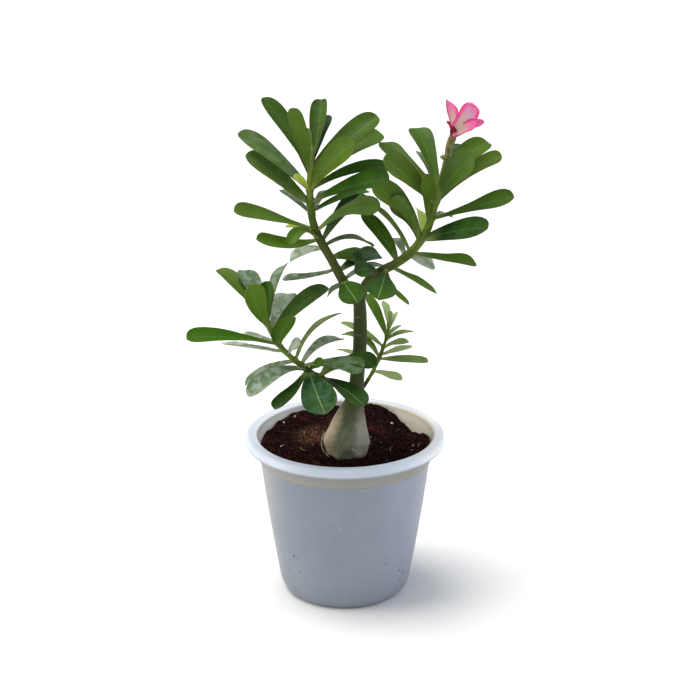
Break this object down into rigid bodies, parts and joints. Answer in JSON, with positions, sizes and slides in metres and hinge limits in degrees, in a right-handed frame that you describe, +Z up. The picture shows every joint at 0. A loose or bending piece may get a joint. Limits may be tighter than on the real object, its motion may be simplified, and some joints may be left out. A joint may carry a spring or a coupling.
{
  "type": "potted desert rose adenium",
  "caption": "Desert rose with a swollen trunk, leafy stems of glossy paddle leaves and a pink flower, in soil in a white plastic nursery pot.",
  "frame": {"origin": "middle of the pot's flat base, on the surface that it stands on", "axes": "+Z up along the pot's axis, +X to the viewer's right in the front view, +Y away from the viewer"},
  "size_m": [0.3054, 0.2009, 0.5105],
  "materials": {
    "pot_plastic": "satin, slightly scuffed",
    "soil": "loose, damp and matte",
    "bark": "smooth, waxy bark",
    "leaf": "thick, waxy and glossy",
    "young_leaf": "thin, pale and satin",
    "petal": "soft and velvety"
  },
  "bodies": {
    "root": {"pot": "pot_plastic", "soil": "soil", "trunk": "bark", "stem_upper_left": "leaf", "stem_upper_right": "leaf", "stem_lower_left": "leaf", "shoot_rear": "young_leaf", "flower": "petal"}
  },
  "joints": []
}
